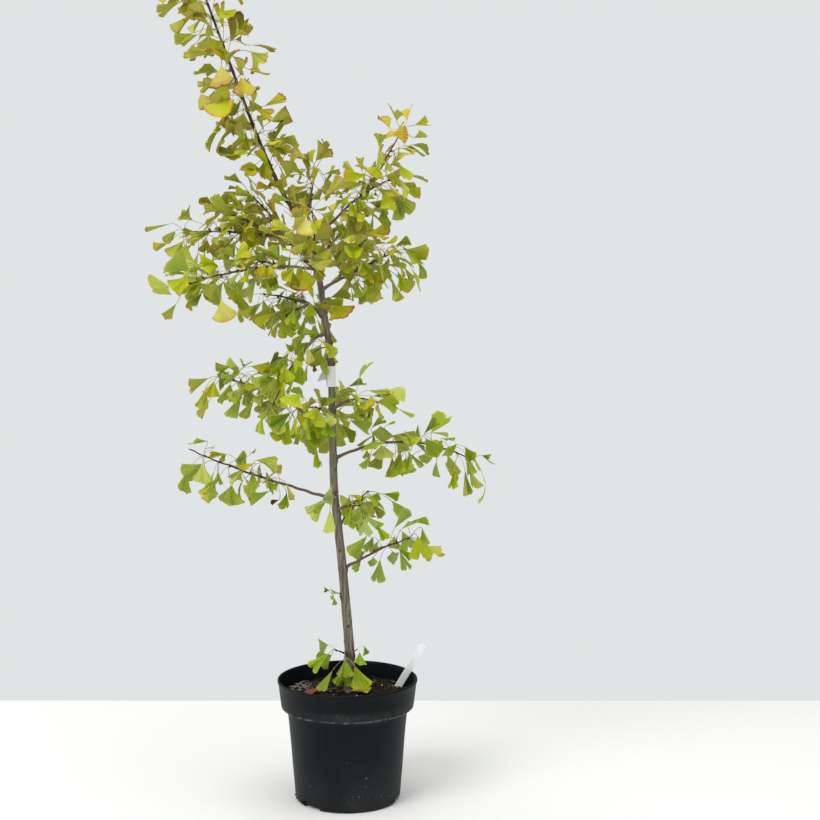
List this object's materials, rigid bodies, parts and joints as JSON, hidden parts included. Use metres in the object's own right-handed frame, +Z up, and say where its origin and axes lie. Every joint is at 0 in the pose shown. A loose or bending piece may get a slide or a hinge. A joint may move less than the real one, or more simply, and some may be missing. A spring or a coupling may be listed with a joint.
{
  "type": "potted ginkgo tree",
  "caption": "Young ginkgo tree with a leaning leader and fan-shaped leaves, in a round nursery pot with compost and two blank labels.",
  "frame": {"origin": "centre of the pot's flat underside, at ground level", "axes": "+Z up along the height; -Y is the side that faces the viewer; the leader leans towards -X"},
  "size_m": [0.5641, 0.3784, 1.4886],
  "materials": {
    "pot": "satin, slightly worn",
    "compost": "matt, damp and fibrous",
    "bark": "matt bark",
    "bough": "matt bark",
    "leaf_low": "soft leaf",
    "leaf_mid": "soft leaf",
    "leaf_high": "soft leaf turning yellow",
    "label": "satin"
  },
  "bodies": {
    "root": {"pot": "pot", "compost": "compost", "pot_label": "label", "stem_label": "label", "trunk": "bark", "bough_low_left": "bough", "foliage_low_left": "leaf_low", "bough_mid_left": "bough", "foliage_mid_left": "leaf_mid", "foliage_arching_left": "leaf_mid", "foliage_short_left": "leaf_mid", "bough_upper_left_front": "bough", "foliage_upper_left_front": "leaf_high", "bough_upper_left_back": "bough", "foliage_upper_left_back": "leaf_high", "bough_rising_right": "bough", "foliage_rising_right": "leaf_high", "bough_upper_right": "bough", "foliage_upper_right": "leaf_high", "bough_crown_back": "bough", "foliage_crown_back": "leaf_high", "bough_upper_back": "bough", "foliage_upper_back": "leaf_high", "foliage_upper_front": "leaf_high", "bough_back_left": "bough", "foliage_back_left": "leaf_mid", "foliage_trunk_spur": "leaf_mid", "foliage_mid_front": "leaf_mid", "foliage_mid_right": "leaf_mid", "bough_mid_back": "bough", "foliage_mid_back": "leaf_mid", "bough_long_right": "bough", "foliage_long_right": "leaf_mid", "foliage_low_front": "leaf_low", "foliage_low_right_front": "leaf_low", "bough_low_back": "bough", "foliage_low_back": "leaf_low", "bough_low_right": "bough", "foliage_low_right": "leaf_low", "foliage_sprout": "leaf_low", "foliage_foot_front": "leaf_low", "foliage_foot_left": "leaf_low", "foliage_foot_right": "leaf_low", "foliage_leader": "leaf_high"}
  },
  "joints": []
}
